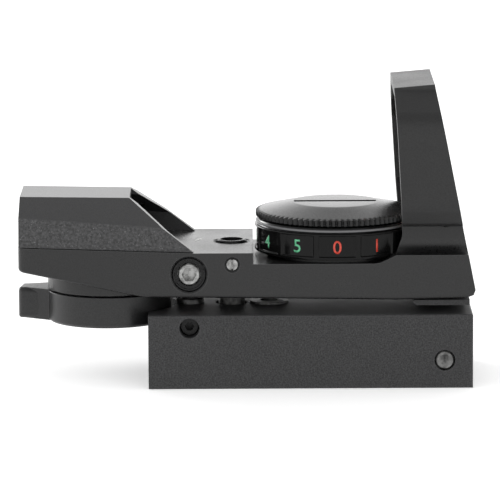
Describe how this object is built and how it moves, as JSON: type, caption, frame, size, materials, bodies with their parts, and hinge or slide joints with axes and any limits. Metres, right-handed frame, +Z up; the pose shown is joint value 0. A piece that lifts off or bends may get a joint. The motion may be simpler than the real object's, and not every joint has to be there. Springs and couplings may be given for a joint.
{
  "type": "red dot finder",
  "caption": "Open reflex red dot finder on a rail clamp, with lens hood, rotary brightness dial over a coin cell, and a reticle lever.",
  "frame": {"origin": "middle of the rail channel, on the plane of the mounting block's underside", "axes": "+X the way the finder looks, from the emitter to the lens; +Z up, away from the rail; +Y to the side of the clamp bolts' heads"},
  "size_m": [0.0821, 0.0378, 0.0542],
  "materials": {
    "anodised_block": "black anodised, satin",
    "housing_metal": "black anodised, fine blasted satin",
    "cover_metal": "black coated casting, slightly rough",
    "lever_metal": "black anodised, satin",
    "cap_metal": "black anodised, turned and knurled",
    "bolt_steel": "dull machined",
    "polished_steel": "polished",
    "black_screw": "black oxide",
    "spring_steel": "drawn wire",
    "brass_part": "machined",
    "contact_brass": "nickel-plated sheet",
    "cell_steel": "pressed stainless can",
    "dial_plastic": "glossy black with painted numbers",
    "inner_plastic": "moulded black",
    "board_green": "printed circuit laminate",
    "board_black": "printed circuit laminate, black mask",
    "led_resin": "clear resin over a red and green die",
    "clear_window": "clear",
    "coated_glass": "red-reflecting coating",
    "film_black": "black film with clear patterns",
    "black_rubber": "moulded",
    "lead_wire": "insulated wire"
  },
  "bodies": {
    "mount": {"mount_block": "anodised_block", "windage_post": "bolt_steel", "spring_washer": "bolt_steel"},
    "clamp_bar": {"clamp_bar": "anodised_block"},
    "clamp_bolt_front": {"clamp_bolt_front": "bolt_steel"},
    "clamp_bolt_rear": {"clamp_bolt_rear": "bolt_steel"},
    "windage_lock_screw": {"windage_lock_screw": "black_screw"},
    "swivel": {"swivel_plate": "anodised_block", "kingpin": "black_screw"},
    "sight_body": {"main_housing": "housing_metal", "emitter_cover": "cover_metal", "emitter_cover_screws": "black_screw", "lens_glass": "coated_glass", "lens_gasket": "black_rubber", "bottom_cover": "inner_plastic", "holder_screw": "black_screw", "switch_board": "board_black", "battery_holder": "inner_plastic", "negative_contact": "contact_brass", "circuit_board": "board_green", "emitter_board": "board_green", "emitter_led": "led_resin", "emitter_window": "clear_window", "emitter_leads": "lead_wire", "elevation_ring": "black_screw", "windage_ring": "black_screw", "pitch_pin": "polished_steel", "lever_wave_washer": "spring_steel", "lever_click_ball": "polished_steel", "lever_click_spring": "spring_steel", "dial_click_ball": "polished_steel", "dial_click_spring": "spring_steel", "return_spring": "spring_steel"},
    "elevation_screw": {"elevation_screw": "polished_steel"},
    "elevation_stud": {"elevation_stud": "bolt_steel"},
    "windage_screw": {"windage_screw": "polished_steel"},
    "windage_nut": {"windage_nut": "brass_part"},
    "elevation_lock_screw": {"elevation_lock_screw": "polished_steel"},
    "brightness_dial": {"brightness_dial": "dial_plastic", "switch_wiper": "contact_brass"},
    "cap_carrier": {"cap_seal": "black_rubber"},
    "battery_cap": {"battery_cap": "cap_metal", "positive_contact": "contact_brass"},
    "battery": {"button_battery": "cell_steel"},
    "reticle_lever": {"reticle_lever": "lever_metal", "lever_shaft": "bolt_steel", "lever_screw": "black_screw", "reticle_drum": "inner_plastic", "reticle_film": "film_black"}
  },
  "joints": [
    {"name": "clamp_bolt_front_turn", "type": "hinge", "parent": "clamp_bar", "child": "clamp_bolt_front", "pos_m": [0.02392, 0.014, 0.005], "axis": [0, 1, 0], "range_deg": [0, 1030]},
    {"name": "clamp_slide", "type": "slide", "parent": "mount", "child": "clamp_bar", "axis": [0, 1, 0], "range_m": [0, 0.002]},
    {"name": "clamp_bolt_rear_turn", "type": "hinge", "parent": "clamp_bar", "child": "clamp_bolt_rear", "pos_m": [-0.01612, 0.014, 0.005], "axis": [0, 1, 0], "range_deg": [0, 1030]},
    {"name": "windage_lock_turn", "type": "hinge", "parent": "mount", "child": "windage_lock_screw", "pos_m": [-0.0216, -0.0119, 0.01098], "axis": [0, 1, 0], "range_deg": [0, 360]},
    {"name": "yaw", "type": "hinge", "parent": "mount", "child": "swivel", "pos_m": [0.02392, 0, 0.0134], "axis": [0, 0, 1], "range_deg": [-0.75, 0.75]},
    {"name": "pitch", "type": "hinge", "parent": "swivel", "child": "sight_body", "pos_m": [0.02392, 0, 0.0189], "axis": [0, 1, 0], "range_deg": [-0.75, 0.75], "deforming": ["return_spring"]},
    {"name": "elevation_screw_turn", "type": "hinge", "parent": "sight_body", "child": "elevation_screw", "pos_m": [-0.01405, 0, 0.0242], "axis": [0, 0, 1], "range_deg": [-360, 360]},
    {"name": "elevation_stud_slide", "type": "slide", "parent": "sight_body", "child": "elevation_stud", "axis": [0, 0, 1], "range_m": [-0.0005, 0.0005]},
    {"name": "windage_screw_turn", "type": "hinge", "parent": "sight_body", "child": "windage_screw", "pos_m": [-0.0216, -0.01335, 0.02062], "axis": [0, 1, 0], "range_deg": [-432, 432]},
    {"name": "windage_nut_slide", "type": "slide", "parent": "sight_body", "child": "windage_nut", "axis": [0, 1, 0], "range_m": [-0.0006, 0.0006]},
    {"name": "elevation_lock_turn", "type": "hinge", "parent": "sight_body", "child": "elevation_lock_screw", "pos_m": [-0.01391, -0.01345, 0.02237], "axis": [0, 1, 0], "range_deg": [0, 360]},
    {"name": "dial_turn", "type": "hinge", "parent": "sight_body", "child": "brightness_dial", "pos_m": [0.00465, 0, 0.0254], "axis": [0, 0, 1], "continuous": true},
    {"name": "cap_lift", "type": "slide", "parent": "sight_body", "child": "cap_carrier", "axis": [0, 0, 1], "range_m": [0, 0.012]},
    {"name": "cap_turn", "type": "hinge", "parent": "cap_carrier", "child": "battery_cap", "pos_m": [0.00465, 0, 0.0295], "axis": [0, 0, 1], "range_deg": [0, 540]},
    {"name": "battery_lift", "type": "slide", "parent": "sight_body", "child": "battery", "axis": [0, 0, 1], "range_m": [0, 0.006]},
    {"name": "lever_turn", "type": "hinge", "parent": "sight_body", "child": "reticle_lever", "pos_m": [-0.03622, 0, 0.0135], "axis": [0, 0, 1], "range_deg": [-16, 32]}
  ],
  "couplings": [
    {"joint": "clamp_bolt_front_turn", "follows": "clamp_slide", "rad_per_m": 8976},
    {"joint": "clamp_bolt_rear_turn", "follows": "clamp_slide", "rad_per_m": 8976},
    {"joint": "elevation_screw_turn", "follows": "pitch", "ratio": 477.1},
    {"joint": "elevation_stud_slide", "follows": "pitch", "m_per_rad": -0.03797},
    {"joint": "windage_screw_turn", "follows": "yaw", "ratio": -572},
    {"joint": "windage_nut_slide", "follows": "yaw", "m_per_rad": 0.04552},
    {"joint": "battery_lift", "follows": "cap_lift", "ratio": 0.5}
  ]
}
